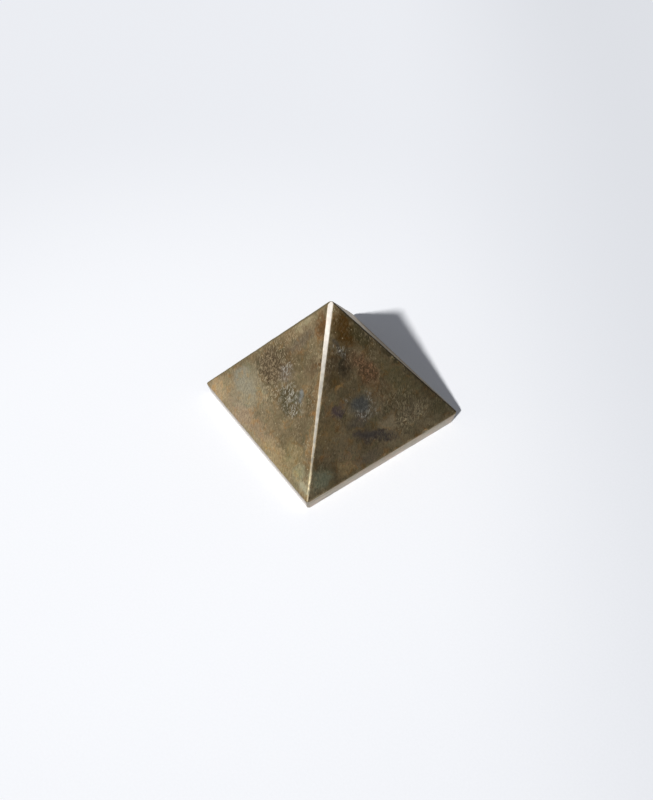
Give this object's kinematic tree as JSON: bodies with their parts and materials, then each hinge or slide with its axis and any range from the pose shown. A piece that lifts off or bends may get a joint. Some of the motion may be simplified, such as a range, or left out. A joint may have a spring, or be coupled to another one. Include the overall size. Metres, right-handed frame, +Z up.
{
  "type": "pyrite pyramid",
  "caption": "Polished pyrite pyramid with a low band round its foot, flats along its edges and crystals cut flush with its faces, to stand on a table.",
  "frame": {"origin": "middle of the flat underside that the stone stands on", "axes": "+Z up towards the point, +X towards the face on the right in the picture, -Y towards the face on the left"},
  "size_m": [0.0502, 0.0506, 0.04],
  "materials": {
    "pyrite": "polished metallic mineral, olive bronze",
    "silver_mineral": "bright silvery metallic mineral",
    "russet_crystals": "red-brown fine crystals",
    "blue_grey_mineral": "dark blue-grey metallic mineral",
    "violet_grey_mineral": "dark violet-grey metallic mineral",
    "fibrous_pyrite": "fine bronze needles",
    "coarse_pyrite": "coarse brown cubic crystals",
    "pale_grey_mineral": "smooth silvery grey-green mineral",
    "slate_mineral": "smooth blue-grey mineral"
  },
  "bodies": {
    "root": {"pyrite_body": "pyrite", "silver_vein": "silver_mineral", "russet_crystal_cluster": "russet_crystals", "blue_grey_mass": "blue_grey_mineral", "violet_grey_band": "violet_grey_mineral", "fibrous_crystal_cluster": "fibrous_pyrite", "coarse_crystal_cluster": "coarse_pyrite", "pale_grey_mass": "pale_grey_mineral", "silver_fleck_cluster": "silver_mineral", "slate_spot": "slate_mineral"}
  },
  "joints": []
}
